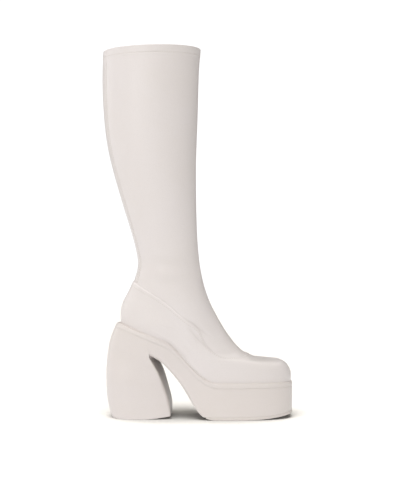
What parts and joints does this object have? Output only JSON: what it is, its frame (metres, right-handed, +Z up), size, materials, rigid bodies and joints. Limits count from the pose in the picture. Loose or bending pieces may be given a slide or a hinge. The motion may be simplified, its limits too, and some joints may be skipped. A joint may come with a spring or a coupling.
{
  "type": "knee-high platform boot",
  "caption": "Knee-high pull-on boot with a smooth fitted shaft, a soft square toe, a thick platform and a curved block heel.",
  "frame": {"origin": "on the floor, under the middle of the boot's box", "axes": "+X towards the toe, +Y towards the inner side of the foot, +Z up"},
  "size_m": [0.2464, 0.1128, 0.4765],
  "materials": {
    "upper_leather": "off-white smooth stretch leather, soft sheen",
    "sole_covering": "off-white smooth covering, soft sheen",
    "outsole_rubber": "off-white matt rubber",
    "insole_lining": "matt pale lining"
  },
  "bodies": {
    "root": {"upper": "upper_leather", "insole": "insole_lining", "rand": "sole_covering", "heel": "sole_covering", "platform": "sole_covering", "outsole": "outsole_rubber"}
  },
  "joints": []
}
